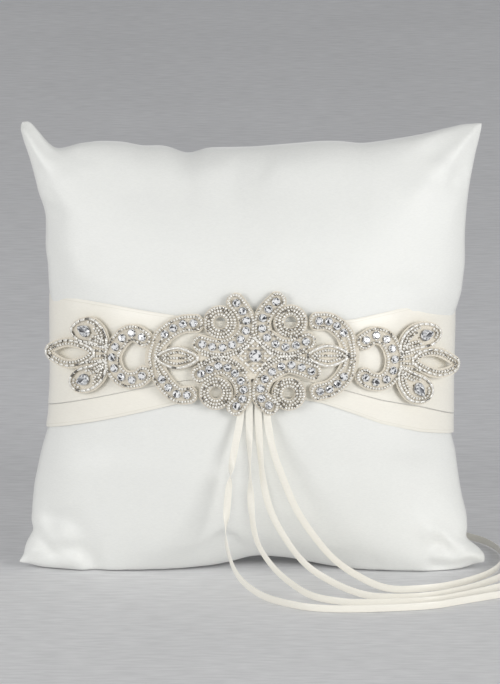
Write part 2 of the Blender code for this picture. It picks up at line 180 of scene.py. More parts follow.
def smooth(points, step, closed=False):
    """Evenly spaced points on a smooth curve through the given ones."""
    p = np.array(points, float)
    if closed:
        p = np.concatenate([p[-1:], p, p[:2]])
    else:
        p = np.concatenate([[2 * p[0] - p[1]], p, [2 * p[-1] - p[-2]]])
    fine = []
    for a, b, c, d in zip(p, p[1:], p[2:], p[3:], strict=False):
        for u in np.linspace(0, 1, 24, endpoint=False):
            curve = (2 * b, c - a, 2 * a - 5 * b + 4 * c - d, 3 * b - a - 3 * c + d)
            fine.append(sum(part * u**k for k, part in enumerate(curve)) / 2)
    fine.append(p[-2])
    return spaced(np.array(fine), step, closed)


def ease(value, low, high):
    """Goes smoothly from 0 at low to 1 at high, which may be the lesser of the two."""
    share = np.clip((value - low) / (high - low), 0, 1)
    return share * share * (3 - 2 * share)


# %% The four routes, in millimetres
TAIL_EXITS = (-6.3, -1.9, 2.5, 6.9)
TAILS = [
    [(-9.4, -51.6, 48.0), (-11.3, -52.4, 26.0), (-10.5, -55.0, 15.6),
     (-5.9, -64.0, 6.6), (3.8, -77.0, 2.0), (17.2, -92.0, 1.7), (29.4, -98.0, 1.7),
     (46.6, -98.5, 1.7), (72.2, -93.5, 1.7), (86.0, -85.0, 1.7), (103.7, -73.0, 1.7),
     (119.0, -63.0, 1.7), (134.0, -50.0, 1.7)],
    [(-1.3, -51.8, 48.0), (-0.4, -52.6, 29.5), (2.1, -55.0, 18.6),
     (8.0, -62.0, 10.8), (15.5, -70.0, 5.6), (24.4, -79.0, 2.4), (36.1, -86.0, 1.7),
     (46.6, -88.0, 1.7), (72.2, -84.5, 1.7), (87.0, -75.0, 1.7), (103.7, -59.5, 1.7),
     (117.0, -46.0, 1.7), (128.0, -31.0, 1.7)],
    [(3.8, -51.8, 48.0), (7.1, -53.0, 33.0), (13.9, -56.0, 20.4),
     (22.3, -62.0, 11.2), (33.6, -68.5, 5.2), (44.9, -75.0, 2.2), (55.0, -78.5, 1.7),
     (72.2, -76.0, 1.7), (89.5, -63.0, 1.7), (103.7, -43.0, 1.7), (112.0, -26.0, 1.7),
     (117.0, -8.0, 1.7), (118.5, 8.0, 1.7)],
    [(8.2, -51.2, 58.2), (12.2, -52.4, 46.6), (18.0, -53.4, 33.0),
     (26.0, -55.6, 21.2), (34.4, -59.0, 12.4), (44.9, -62.5, 6.0), (55.0, -64.5, 2.2),
     (65.5, -64.8, 1.7), (80.6, -58.6, 1.7), (94.5, -44.0, 1.7), (102.0, -29.0, 1.7),
     (105.0, -13.0, 1.7), (104.5, 4.0, 1.7), (99.0, 20.0, 1.7), (90.0, 32.0, 1.7)],
]


# %% Pieces made straight from points
def grid_faces(rows, columns, round_rows=False, round_columns=False):
    """The faces of a grid of points, which may run round and close on itself either way."""
    faces = []
    for i in range(rows if round_rows else rows - 1):
        for k in range(columns if round_columns else columns - 1):
            here, beyond = i * columns, (i + 1) % rows * columns
            after = (k + 1) % columns
            faces.append((here + k, here + after, beyond + after, beyond + k))
    return faces


def new_piece(name, points, faces):
    mesh = bpy.data.meshes.new(name)
    mesh.from_pydata(points, [], faces)
    mesh.shade_smooth()
    piece = bpy.data.objects.new(name, mesh)
    bpy.context.scene.collection.objects.link(piece)
    return piece


# %% The ribbons
RIBBON = 0.003
RIBBON_THICK = 0.25 * MM
# Half round the strip's section: share of its width, and share of its thickness
SECTION_TOP = [(-0.5, 0.3), (-0.47, 0.5), (0, 0.42), (0.47, 0.5), (0.5, 0.3)]
SECTION = SECTION_TOP + [(wide, -thick) for wide, thick in SECTION_TOP[::-1]]
# Heights between which each ribbon turns from flat against the pillow to standing on edge
TURNS = ((0.066, 0.030), (0.076, 0.044), (0.072, 0.042), (0.072, 0.042))
# Where each ribbon starts, under the applique: up from the tack's lower edge, and the lift
TACK_LOWER = -24.8
TUCKED = ((9.5, 1.7 * MM), (4, 1.9 * MM), (-1, 2.3 * MM))


def ribbon_strip(name, line, turn_from, turn_to):
    ahead = unit(np.gradient(line, axis=0))
    flat = np.array([1.0, 0, 0]) - ahead[:, :1] * ahead
    edge = np.array([0, 0, 1.0]) - ahead[:, 2:] * ahead
    share = ease(line[:, 2], turn_from, turn_to)[:, None]
    wide = unit((1 - share) * unit(flat) + share * unit(edge))
    face = np.cross(ahead, wide)
    rings = [line + wide * RIBBON * a + face * RIBBON_THICK * b for a, b in SECTION]
    points = np.stack(rings, axis=1).reshape(-1, 3)
    first_end = tuple(range(len(SECTION)))
    last_end = tuple(range(len(points) - len(SECTION), len(points)))
    faces = grid_faces(len(line), len(SECTION), round_columns=True)
    return new_piece(name, points, [*faces, first_end[::-1], last_end])


ribbons = []
for number, (across, route) in enumerate(zip(TAIL_EXITS, TAILS, strict=True), 1):
    start = [bed(across * 0.85, TACK_LOWER + up, lift) for up, lift in TUCKED]
    line = smooth([*start, *(np.array(route) * MM)], 1.2 * MM)
    strip = ribbon_strip(f"satin_ribbon_{number}", line, *TURNS[number - 1])
    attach(strip, "root")
    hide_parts(f"ribbon_tail_{number}", *(["ribbon_tack"] if number == 1 else []))
    ribbons.append(strip)

# %% [markdown]
# ## Table and light
# A plain pale table that runs on behind the pillow. Less light reaches it there, so it turns to grey, as the
# paper of a studio sweep does, and its colour is also painted a little darker there as painted shade. Two
# wide soft lights in front and two weak ones at the sides keep the satin smooth, and the beads and stones
# throw their bright shapes back as sparkle, on top of the painted glints on their faces.


# %% Small helpers for materials
WHITE = (1.0, 1.0, 1.0)


def fill_in(tree, node, inputs):
    """Sets a node's sockets to plain values, or joins them to other sockets."""
    for socket, value in inputs.items():
        if isinstance(value, bpy.types.NodeSocket):
            tree.links.new(value, node.inputs[socket])
        else:
            node.inputs[socket].default_value = value


def add_node(tree, kind, inputs=None, **settings):
    made = tree.nodes.new(kind)
    for key, value in settings.items():
        setattr(made, key, value)
    fill_in(tree, made, inputs or {})
    return made


def new_finish(name):
    finish = bpy.data.materials.new(name)
    finish.use_nodes = True
    return finish, finish.node_tree, finish.node_tree.nodes["Principled BSDF"]


def own_place(tree):
    return add_node(tree, "ShaderNodeTexCoord").outputs["Object"]


def kept_number(tree, name):
    """A number that the piece itself keeps, such as one for each face."""
    return add_node(tree, "ShaderNodeAttribute", attribute_name=name).outputs["Fac"]


def noise(tree, place, scale, detail):
    inputs = {"Vector": place, "Scale": scale, "Detail": detail}
    return add_node(tree, "ShaderNodeTexNoise", inputs).outputs["Fac"]


def drawn_out(tree, place, scale):
    return add_node(tree, "ShaderNodeMapping", {"Vector": place, "Scale": scale}).outputs[0]


def map_range(tree, value, **ends):
    inputs = {name.replace("_", " "): end for name, end in ends.items()}
    return add_node(tree, "ShaderNodeMapRange", {"Value": value, **inputs}).outputs[0]


def add_ramp(tree, value, stops):
    """A colour ramp through (place, colour) stops."""
    ramp = add_node(tree, "ShaderNodeValToRGB", {"Fac": value})
    while len(ramp.color_ramp.elements) < len(stops):
        ramp.color_ramp.elements.new(0.5)
    for element, (place, colour) in zip(ramp.color_ramp.elements, stops, strict=True):
        element.position, element.color = place, (*colour, 1)
    return ramp.outputs["Color"]


def multiplied(tree, colour, by):
    inputs = {"Factor": 1.0, 6: colour, 7: by}
    return add_node(tree, "ShaderNodeMix", inputs, data_type="RGBA", blend_type="MULTIPLY").outputs[2]


def raised(tree, height, strength):
    inputs = {"Height": height, "Strength": strength, "Distance": 0.0001}
    return add_node(tree, "ShaderNodeBump", inputs).outputs[0]


# %% The table
bpy.ops.object.select_all(action="DESELECT")
bpy.ops.mesh.primitive_plane_add(size=30, location=(0, 0, -0.0002))
table = bpy.context.object
table.name = "table"
bpy.ops.object.transform_apply(location=True, rotation=True, scale=True)
paper, tree, shader = new_finish("table_paper")
place = own_place(tree)
towards_back = add_node(tree, "ShaderNodeSeparateXYZ", {0: place}).outputs["Y"]
behind = map_range(tree, towards_back, From_Min=-0.042, From_Max=-0.016)
grain = noise(tree, drawn_out(tree, place, (90, 380, 1)), 1.0, 3.0)
# Painted shade: the paper is coloured a little darker behind the pillow, where less light falls
painted_shade_behind = add_ramp(tree, behind, [(0.0, (0.86, 0.86, 0.865)), (1.0, (0.85, 0.85, 0.865))])
speck = add_ramp(tree, grain, [(0.3, (0.87, 0.87, 0.87)), (0.7, WHITE)])
cloud = add_ramp(tree, noise(tree, place, 9.0, 2.0), [(0.3, (0.96, 0.96, 0.96)), (0.7, WHITE)])
printed = multiplied(tree, multiplied(tree, painted_shade_behind, speck), cloud)
fill_in(tree, shader, {"Base Color": printed, "Roughness": 0.85})
table.data.materials.append(paper)


# %% The lights
def soft_light(name, place, size, power):
    bpy.ops.object.light_add(type="AREA", location=place)
    light = bpy.context.object
    light.name = name
    light.data.shape = "RECTANGLE"
    light.data.size, light.data.size_y = size
    light.data.energy = power
    light.rotation_euler = (Vector((0, 0, 0.08)) - light.location).to_track_quat("-Z", "Y").to_euler()


soft_light("window_left", (-1.45, -1.6, 0.75), (0.9, 0.9), 14)
soft_light("window_right", (1.45, -1.55, 0.65), (0.8, 0.9), 18)
soft_light("side_left", (-1.9, -0.3, 0.6), (0.7, 0.9), 4)
soft_light("side_right", (1.9, -0.4, 0.6), (0.7, 0.9), 4)
world = bpy.data.worlds.new("studio")
world.use_nodes = True
background = world.node_tree.nodes["Background"]
fill_in(world.node_tree, background, {"Color": (0.98, 0.99, 1.0, 1), "Strength": 0.36})
bpy.context.scene.world = world
# The usual view rolls bright tones off like film, which would grey the white satin
bpy.context.scene.view_settings.view_transform = "Standard"

# %% [markdown]
# ## Satin
# Satin is woven so that long threads float over the face. It is bright along the threads and
# quiet across them. The white pillow satin is matt, the ivory ribbon satin shinier. A picture of
# cloth could be wrapped round, but thread lines made from noise drawn out one way need no
# picture and never run out of detail. A line is woven in near the edges of the wide ribbon.


# %% Satin from its threads
def satin(name, colour, shade, roughness, sheen, thread, strength):
    finish, tree, shader = new_finish(name)
    place = own_place(tree)
    threads = noise(tree, drawn_out(tree, place, thread), 1.0, 2.0)
    cloth = add_ramp(tree, noise(tree, place, 60.0, 3.0), [(0.25, shade), (0.75, colour)])
    line = add_ramp(tree, threads, [(0.35, (0.965, 0.965, 0.965)), (0.65, WHITE)])
    woven = add_ramp(tree, kept_number(tree, "from_edge"),
                     [(0.0, WHITE), (0.22, WHITE), (0.25, (0.86, 0.85, 0.82)), (0.28, WHITE), (1.0, WHITE)])
    fill_in(tree, shader, {
        "Base Color": multiplied(tree, multiplied(tree, cloth, line), woven),
        "Roughness": map_range(tree, threads, To_Min=roughness - 0.05, To_Max=roughness + 0.06),
        "Normal": raised(tree, threads, strength),
        "Sheen Weight": sheen,
        "Sheen Roughness": 0.4,
        "Specular IOR Level": 0.45,
    })
    return finish


white_satin = satin("white_satin", colour=(0.915, 0.92, 0.885), shade=(0.895, 0.90, 0.868), roughness=0.5,
                    sheen=0.5, thread=(700, 700, 3200), strength=0.25)
ivory_satin = satin("ivory_satin", colour=(0.98, 0.95, 0.86), shade=(0.965, 0.93, 0.835), roughness=0.30,
                    sheen=0.6, thread=(500, 500, 4200), strength=0.3)
for strip in ribbons:
    strip.data.materials.append(ivory_satin)
print("finishes", [white_satin.name, ivory_satin.name])

# %% [markdown]
# ## The pillow
# Two squares of satin are sewn edge to edge and stuffed with polyester fibre. The real folds come
# from one thing: a flat square cannot swell without crowding its own seams. So the honest way is
# to sew and stuff it here too, as two sheets of simulated cloth joined round the edge and blown
# up by pressure. It is simulated ten times as large, because cloth settings are made for clothes.


# %% Reading and setting a piece's points
def points_of(piece):
    found = np.empty(len(piece.data.vertices) * 3, np.float32)
    piece.data.vertices.foreach_get("co", found)
    return found.reshape(-1, 3)


def set_points(piece, points):
    piece.data.vertices.foreach_set("co", points.astype(np.float32).ravel())
    piece.data.update()


# %% Two squares sewn together
SIM_TIMES = 10
CUTS = 64
CROWDED = 0.55  # how much closer the lines of points come towards the seams
SPARE = 1.015
SHEET_GAP = 0.004
bpy.ops.object.select_all(action="DESELECT")
bpy.ops.mesh.primitive_grid_add(x_subdivisions=CUTS, y_subdivisions=CUTS, size=2)
cushion = bpy.context.object
cushion.name = "satin_cushion"
square = points_of(cushion)
square[:, :2] = CROWDED * np.sin(square[:, :2] * np.pi / 2) + (1 - CROWDED) * square[:, :2]
set_points(cushion, square * (SPARE, SPARE, 1))
bpy.ops.object.mode_set(mode="EDIT")
bpy.ops.mesh.select_all(action="SELECT")
bpy.ops.mesh.duplicate()
bpy.ops.transform.translate(value=(0, 0, SHEET_GAP))
bpy.ops.mesh.select_all(action="DESELECT")
bpy.ops.mesh.select_non_manifold()
bpy.ops.mesh.remove_doubles(threshold=0.0045)
bpy.ops.mesh.select_all(action="SELECT")
bpy.ops.mesh.normals_make_consistent(inside=False)
bpy.ops.object.mode_set(mode="OBJECT")
print("cushion", len(cushion.data.vertices), "points before stuffing")

# %% Stuffing it
STUFFING_FRAMES = 30
cut = points_of(cushion).astype(float)
s, t = cut[:, 0] / SPARE, cut[:, 1] / SPARE
on_seam = (np.abs(s) > 0.9999) | (np.abs(t) > 0.9999)
# 1 on the front sheet, -1 on the back one and 0 on the seam between them
front = np.where(cut[:, 2] > 0.75 * SHEET_GAP, 1.0, np.where(cut[:, 2] < 0.25 * SHEET_GAP, -1.0, 0.0))
front[on_seam] = 0.0
cloth = cushion.modifiers.new("Stuffing", "CLOTH")
cloth.settings.quality = 5
cloth.settings.mass = 0.3
cloth.settings.use_pressure = True
cloth.settings.uniform_pressure_force = 5
cloth.settings.tension_stiffness = 60
cloth.settings.compression_stiffness = 60
cloth.settings.shear_stiffness = 20
cloth.settings.bending_stiffness = 10
cloth.settings.effector_weights.gravity = 0
cloth.point_cache.frame_start = 1
cloth.point_cache.frame_end = STUFFING_FRAMES
for moment in range(1, STUFFING_FRAMES + 1):
    bpy.context.scene.frame_set(moment)
bpy.ops.object.modifier_apply(modifier=cloth.name)
bpy.context.scene.frame_set(1)
stuffed = points_of(cushion).astype(float)
print("stuffed to", np.round(np.ptp(stuffed, axis=0) * 1000 / SIM_TIMES, 1), "mm")

# %% [markdown]
# The simulation gives the folds, and the measured pillow gives the size. A low smooth surface is
# fitted to the simulated one, what is left over is its folds, and those are laid on the measured
# shape. Towards the middle they fade, because a full pillow is smooth there.

# %% The folds that are left over
FOLD_LIMIT = 2 * MM


def smooth_part(values, odd_in_s, odd_in_t, shape):
    """The best low polynomial in s and t for the values, times a given edge shape."""
    columns = [
        shape * s ** (i + odd_in_s) * t ** (j + odd_in_t)
        for i in (0, 2, 4, 6, 8) for j in (0, 2, 4, 6, 8)
    ]
    basis = np.stack(columns, axis=1)
    weights = np.linalg.lstsq(basis, values, rcond=None)[0]
    return basis @ weights


near_edge = 0.3 + 0.7 * ease(np.maximum(np.abs(s), np.abs(t)), 0.5, 0.9)
folds = np.zeros_like(stuffed)
even = np.ones_like(s)
above = stuffed[:, 2] - SHEET_GAP / 2
folds[:, 0] = stuffed[:, 0] - smooth_part(stuffed[:, 0], 1, 0, even)
folds[:, 1] = stuffed[:, 1] - smooth_part(stuffed[:, 1], 0, 1, even)
folds[:, 2] = above - smooth_part(above, 0, 0, front * swell(s, t))
folds = np.clip(folds / SIM_TIMES, -FOLD_LIMIT, FOLD_LIMIT) * near_edge[:, None]
folds[front == 0, 2] = 0
print("deepest fold", round(float(np.abs(folds).max()) * 1000, 2), "mm")

# %% [markdown]
# Handling leaves its own marks, and those are pressed in one by one: a valley beside each ear, and the
# crumple where the lower corners take the weight. The seams wave a little too. A sculpting brush would do
# both, but a list of strokes can be read, changed and done again.

# %% Folds pressed in
# (stroke, width, depth) in plan millimetres from the pillow's middle. A depth below 0 is a valley.
PRESSED = [
    ([(-96, 95), (-88, 86), (-79, 76)], 5.0, 1.5),
    ([(-94, 79), (-88, 77)], 2.5, -1.0),
    ([(-92, 62), (-82, 60)], 3.0, -1.5),
    ([(-90, 29), (-80, 36), (-70, 41)], 5.0, -1.6),
    ([(96, 95), (86, 84), (70, 70)], 6.0, 1.5),
    ([(83, 83), (89, 78), (90, 72)], 1.8, -1.6),
    ([(78, 75), (89, 70)], 2.5, -1.4),
    ([(90, 68), (89, 58)], 2.0, -1.0),
    ([(-95, -74), (-91, -75), (-87, -79), (-85, -82), (-78, -80), (-73, -80), (-68, -86), (-66, -90)],
     2.6, -2.8),
    ([(-84, -68), (-77, -68), (-73, -73), (-70, -79), (-68, -84)], 4.5, -2.0),
    ([(-88, -73), (-80, -74), (-75, -77)], 4.0, 1.5),
    ([(-96, -86), (-88, -86), (-80, -85), (-73, -86)], 4.0, 2.5),
    ([(77, -77), (84, -82), (89, -80), (92, -78)], 2.2, -3.4),
    ([(74, -72), (82, -76), (89, -76)], 3.5, 2.0),
    ([(76, -87), (84, -87), (93, -84)], 2.2, -3.2),
    ([(78, -83), (86, -84), (94, -82)], 3.0, 2.2),
    ([(74, -36), (86, -41)], 2.5, -1.0),
    ([(-90, -42), (-80, -37)], 2.5, -1.0),
    ([(26, -36), (40, -44)], 3.0, -0.7),
]


def pressed(x, v):
    total = np.zeros_like(x)
    for stroke, width, deep in PRESSED:
        off = np.full_like(x, 1e3)
        for a, b in zip(np.array(stroke, float), np.array(stroke[1:], float), strict=False):
            ahead = b - a
            share = np.clip(((x - a[0]) * ahead[0] + (v - a[1]) * ahead[1]) / (ahead @ ahead), 0, 1)
            off = np.minimum(off, np.hypot(x - a[0] - share * ahead[0], v - a[1] - share * ahead[1]))
        total += deep * np.exp(-((off / width) ** 2))
    return total


# %% The waves in the seams
# Outwards from the measured line, in millimetres: along the top and bottom by how far across, and
# down each side by how far above the pillow's middle. The bottom's is how far it is pulled up.
TOP_WAVE = [
    (-99, 0.0), (-93, 2.2), (-89, 0.0), (-85, -3.8), (-81, -6.5), (-77, -5.4), (-72, -2.6),
    (-64, -0.7), (-55, -0.3), (-47, -1.7), (-39, -1.2), (-35, -1.6), (-26, -5.4), (-22, -2.0),
    (3, -1.5), (28, 0.8), (37, 0.6), (45, -0.7), (79, 2.2), (87, 2.4), (96, 0.6),
]
LEFT_WAVE = [
    (-99, 3.0), (-94, 1.2), (-90, 2.1), (-85, 2.5), (-79, 1.7), (-73, 4.2), (-63, 5.4),
    (-54, 5.5), (-42, 3.8), (-31, 0.8), (-26, -0.6), (-10, -1.6), (14, -1.4), (29, 0.3),
    (37, 0.4), (44, 1.3), (59, 0.0), (67, 2.1), (86, 3.4), (94, 2.5), (99, 0.5),
]
RIGHT_WAVE = [
    (-99, 1.0), (-94, 2.1), (-90, 0.5), (-85, -2.9), (-79, -0.4), (-73, 0.9), (-68, 1.3),
    (-39, -0.9), (-35, -2.1), (-28, -2.6), (-10, -2.6), (14, -2.0), (26, 2.1), (41, 3.3),
    (52, 2.5), (78, 1.7), (99, 0.0),
]
BOTTOM_WAVE = [
    (-60, 0.0), (-30, 6.0), (3, 13.5), (15, 12.5), (25, 10.0), (35, 7.0), (45, 3.0), (55, 0.0),
]


def wave(table, place):
    places, heights = np.array(table, float).T
    return np.interp(place * 1000, places, heights) * MM


# %% [markdown]
# Everything now goes into the points of the sewn square, in the pillow's own plane: x across, v up
# and w out. The folds stay away from the seams, which have their waves, and from the band under the
# sash, which the sash holds smooth. The lower corners are pushed up and forward by the table, and
# the ribbons lie in a shallow hollow below the applique.

# %% The square with its folds and waves
CORNER_SHORT = (2.2 * MM, 1.2 * MM)
EAR_UP = 0.0117
EAR_FORWARD = 0.010
HOLLOW = 1.4 * MM
SEAM_CREASE = 0.5 * MM
OFF_TABLE = 0.1 * MM
corner = (s * t) ** 24
across = s * half_width(t) - np.sign(s) * CORNER_SHORT[0] * corner
height = t * half_height(s, t) - np.sign(t) * CORNER_SHORT[1] * corner
free = 1 - ease(np.abs(height * 1000 + 4), 42, 32)
near_side, near_top = ease(np.abs(s), 0.8, 1.0), ease(np.abs(t), 0.8, 1.0)
side_wave = np.where(s < 0, -wave(LEFT_WAVE, height), wave(RIGHT_WAVE, height))
x = across + free * (1 - near_side) * folds[:, 0] + ease(np.abs(s), 0.55, 1.0) * side_wave
v = MIDDLE + height + free * (1 - near_top) * folds[:, 1]
v += ease(t, 0.55, 1.0) * wave(TOP_WAVE, across) + ease(-t, 0.5, 1.0) * wave(BOTTOM_WAVE, across)
grounded = 1 - ease(v, -SINK, 0.034)
v += EAR_UP * ease(np.abs(s), 0.72, 0.95) * grounded
strokes = pressed(x * 1000, (v - MIDDLE) * 1000) * MM * np.minimum(1, depth(s, t) / 0.010)
w = front * depth(s, t) + free * (folds[:, 2] + np.where(front > 0, strokes, 0))
under_ribbons = np.exp(-(((x - 0.003) / 0.024) ** 2)) * ease(v, 0.078, 0.058) * ease(v, 0.0, 0.02)
w -= HOLLOW * under_ribbons * (front > 0)
x -= np.sign(s) * SEAM_CREASE * near_side * on_seam
v -= np.sign(t) * SEAM_CREASE * near_top * on_seam
made = leaned(x, v, w) + (0, 0, OFF_TABLE)
made[:, 1] -= EAR_FORWARD * ease(np.abs(s), 0.55, 0.98) * grounded
set_points(cushion, made)
print("folded to", np.round(np.ptp(made, axis=0) * 1000, 1), "mm")

# %% Turning its faces out and rounding it
bpy.ops.object.mode_set(mode="EDIT")
bpy.ops.mesh.select_all(action="SELECT")
bpy.ops.mesh.normals_make_consistent(inside=False)
bpy.ops.object.mode_set(mode="OBJECT")
rounding = cushion.modifiers.new("Rounding", "SUBSURF")
rounding.levels = rounding.render_levels = 1
bpy.ops.object.modifier_apply(modifier=rounding.name)
bpy.ops.object.shade_smooth()
cushion.data.materials.append(white_satin)
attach(cushion, "root")
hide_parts("cover_front", "cover_back", "fibre_fill")
print("cushion", len(cushion.data.polygons), "faces")

# %% [markdown]
# ## The sash
# One length of wide ivory satin goes right round the pillow. It was folded once along its lower
# part, and it is gathered behind the applique, so the folded edge and the lower edge fan out from
# the middle to the sides. A plane could be wrapped with a shrink modifier, but the pleat has
# three layers of satin under each other, which a shrink would press into one. So the band is laid
# out in rows across and columns round, with the rows going back on themselves at the fold.

# %% Where the sash's edges run
# Distance across from the middle, then the upper edge, the fold and the lower edge, in millimetres
# above the centre stone.
SASH_PLAN = np.array([
    (-200, 22.0, -26.0, -35.0), (-100, 23.0, -25.0, -33.6), (-88, 23.9, -23.6, -33.0),
    (-71, 22.2, -19.7, -29.6), (-59, 20.6, -16.8, -26.9), (-45, 18.4, -13.5, -23.4),
    (-30, 16.4, -10.5, -19.6), (-15, 14.8, -9.0, -17.0), (0, 14.2, -8.5, -16.0),
    (15, 14.2, -9.2, -17.0), (30, 14.6, -12.0, -19.8), (42, 14.9, -15.4, -24.0),
    (55, 17.4, -19.2, -29.0), (72, 20.8, -22.7, -33.2), (88, 23.5, -27.6, -35.4),
    (100, 23.2, -27.4, -35.4), (200, 22.0, -26.0, -35.0),
])
SASH_AT = 0.6 * MM
LAYER = 0.15 * MM
# Rows across the sash: share from one edge to the next, and how many layers up
UPPER_ROWS = [
    (0.0, 0.3), (0.012, 1.0), (0.03, 1.15), (0.055, 1.1), (0.07, 1.6), (0.12, 1.7), (0.25, 1.75),
    (0.4, 1.75), (0.55, 1.75), (0.7, 1.75), (0.85, 1.78), (0.94, 1.82), (0.985, 1.85), (1.0, 1.6),
]
UNDER_ROWS = [(-0.12, 1.25), (-0.3, 1.0), (-0.12, 0.8)]
LOWER_ROWS = [(0.15, 0.9), (0.4, 0.8), (0.65, 0.8), (0.85, 0.8), (0.96, 0.75), (1.0, 0.2)]
# The side seams' waves reach the sash only this far below and above the pillow's middle
WAVED = (-0.028, 0.013)


def round_pillow(angle, v):
    t = (v - MIDDLE) / (SIDE / 2)
    level = np.clip(v - MIDDLE, *WAVED)
    side = half_width(t) + np.where(angle > np.pi, wave(LEFT_WAVE, level), wave(RIGHT_WAVE, level))
    return leaned(np.sin(angle) * side, v, np.cos(angle) * depth(0.0, t))


def girth(angle, v, lift):
    """A point round the pillow at height v on its plane, lifted off the satin."""
    step = 1e-4
    along = round_pillow(angle + step, v) - round_pillow(angle - step, v)
    up = round_pillow(angle, v + step) - round_pillow(angle, v - step)
    return round_pillow(angle, v) + unit(np.cross(along, up)) * np.asarray(lift)[..., None]


# %% Laying the sash
COLUMNS = 220
SEAM_ACROSS = 88
EDGE_SPAN = 5  # millimetres in from an edge that make 1 in the satin's from_edge
angles = np.linspace(0, 2 * np.pi, COLUMNS, endpoint=False)
across = np.sin(angles) * half_width(0.0) * 1000
past_seam = np.sign(across) * (SEAM_ACROSS + 60 * -np.cos(angles))
across = np.where(np.cos(angles) < 0, past_seam, across)
upper, fold, lower = (np.interp(across, SASH_PLAN[:, 0], SASH_PLAN[:, k]) for k in (1, 2, 3))
loose = 1.0 + 0.35 * ease(np.abs(across), 30, 80) * ease(np.cos(angles), -0.2, 0.3)
band = [(upper + (fold - upper) * share, (upper - fold) * share, layers) for share, layers in UPPER_ROWS]
band += [
    (fold + (lower - fold) * share, (fold - lower) * (1 - share), layers)
    for share, layers in UNDER_ROWS + LOWER_ROWS
]
grid = np.stack([
    girth(angles, MIDDLE + APPLIQUE_UP + level * MM, SASH_AT + layers * loose * LAYER)
    for level, _, layers in band
], axis=1)
sash = new_piece("satin_sash", grid.reshape(-1, 3), grid_faces(COLUMNS, len(band), round_rows=True))
from_edge = np.stack([inward / EDGE_SPAN for _, inward, _ in band], axis=1)
inward_layer = sash.data.attributes.new("from_edge", "FLOAT", "POINT")
inward_layer.data.foreach_set("value", from_edge.ravel().astype(np.float32))
sash.data.materials.append(ivory_satin)
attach(sash, "root")
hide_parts("sash_band")

# %% [markdown]
# ## Beads and stones
# Four small things make the whole applique: a round seed bead, a long bugle bead, a cut stone in a metal cup
# and a pear-cut stone. Each is modelled once, and every place gets a copy.
# There are over a thousand, so a bead has only a few dozen faces.
# Real glass and crystal would need light traced through every facet. Each face keeps a painted brightness
# instead, called glint, which is a painted reflection standing for what the silver or foil behind it throws
# back.

# %% Glass and crystal
beads_glass, tree, shader = new_finish("silver_lined_glass")
# Painted reflections: each face's colour comes from its glint, from a dark streak to the bright light the
# silver lining throws back
glint_reflection = add_ramp(tree, kept_number(tree, "glint"),
                  [(0.0, (0.12, 0.108, 0.09)), (0.2, (0.88, 0.85, 0.775)), (1.0, (1.0, 0.985, 0.945))])
cloudy = noise(tree, own_place(tree), 1500.0, 1.0)
milky = add_ramp(tree, cloudy, [(0.35, (0.90, 0.885, 0.855)), (0.6, WHITE)])
fill_in(tree, shader, {
    "Base Color": multiplied(tree, glint_reflection, milky), "Metallic": 0.1, "Roughness": 0.16,
    "Coat Weight": 1.0, "Coat Roughness": 0.04, "Specular IOR Level": 0.8,
})

crystal, tree, shader = new_finish("foiled_crystal")
# Painted reflections: each facet's colour comes from its glint, from near black to white, standing for what
# the foil behind it throws back
facet_reflection = add_ramp(tree, kept_number(tree, "glint"), [
    (0.0, (0.02, 0.021, 0.025)), (0.3, (0.22, 0.225, 0.24)), (0.55, (0.92, 0.93, 0.94)), (1.0, WHITE)])
cells = add_node(tree, "ShaderNodeTexVoronoi", {"Vector": own_place(tree), "Scale": 1400.0})
inner = add_ramp(tree, cells.outputs["Distance"], [(0.15, (0.74, 0.74, 0.74)), (0.4, WHITE)])
fill_in(tree, shader, {
    "Base Color": multiplied(tree, facet_reflection, inner), "Metallic": 0.12, "Roughness": 0.08,
    "Coat Weight": 1.0, "Coat Roughness": 0.02,
})
print("glass", beads_glass.name, "and", crystal.name)

# %% Plated cups and beige net
cup_metal, tree, shader = new_finish("plated_cup")
worn = noise(tree, own_place(tree), 2500.0, 2.0)
plate = add_ramp(tree, worn, [(0.35, (0.50, 0.49, 0.46)), (0.65, (0.80, 0.79, 0.76))])
fill_in(tree, shader, {"Base Color": plate, "Metallic": 1.0, "Roughness": 0.25})

net, tree, shader = new_finish("beige_net")
cells = add_node(tree, "ShaderNodeTexVoronoi", {"Vector": own_place(tree), "Scale": 1800.0},
                 feature="DISTANCE_TO_EDGE")
threads = cells.outputs["Distance"]
thread = add_ramp(tree, threads, [(0.05, (0.88, 0.82, 0.71)), (0.3, (0.78, 0.715, 0.59))])
fill_in(tree, shader, {"Base Color": thread, "Normal": raised(tree, threads, 0.4), "Roughness": 0.9})
print("finishes", [cup_metal.name, net.name])


# %% Finishing a master
def paint_glint(piece, values):
    """Gives each face its glint, a painted reflection, with the values repeated as often as needed."""
    layer = piece.data.attributes.get("glint") or piece.data.attributes.new("glint", "FLOAT", "FACE")
    layer.data.foreach_set("value", np.resize(values, len(piece.data.polygons)).astype(np.float32))


def as_master(piece, finish):
    bpy.ops.object.transform_apply(location=True, rotation=True, scale=True)
    piece.data.materials.append(finish)
    return piece


# %% [markdown]
# A seed bead is a short slice of glass tube with its ends melted round, which is a torus drawn
# out a little along its hole. Its hole runs along the row, which is X here, and it rests on z = 0.
# A bugle bead is a longer slice of the same tube, cut square, with its ends just softened.

# %% The seed bead and the bugle bead
BEAD = 1.35
TUBE_MIDDLE, TUBE_WALL = 0.36 * MM, 0.30 * MM
BUGLE_RADIUS, BUGLE_LONG = 0.6 * MM, 2.3 * MM
bpy.ops.object.select_all(action="DESELECT")
bpy.ops.mesh.primitive_torus_add(
    major_segments=9, minor_segments=6, major_radius=TUBE_MIDDLE, minor_radius=TUBE_WALL,
    rotation=(0, np.pi / 2, 0), location=(0, 0, TUBE_MIDDLE + TUBE_WALL))
seed_bead = bpy.context.object
seed_bead.name = "seed_bead"
seed_bead.scale = (1, 1, 1.65)
bpy.ops.object.shade_smooth()
as_master(seed_bead, beads_glass)

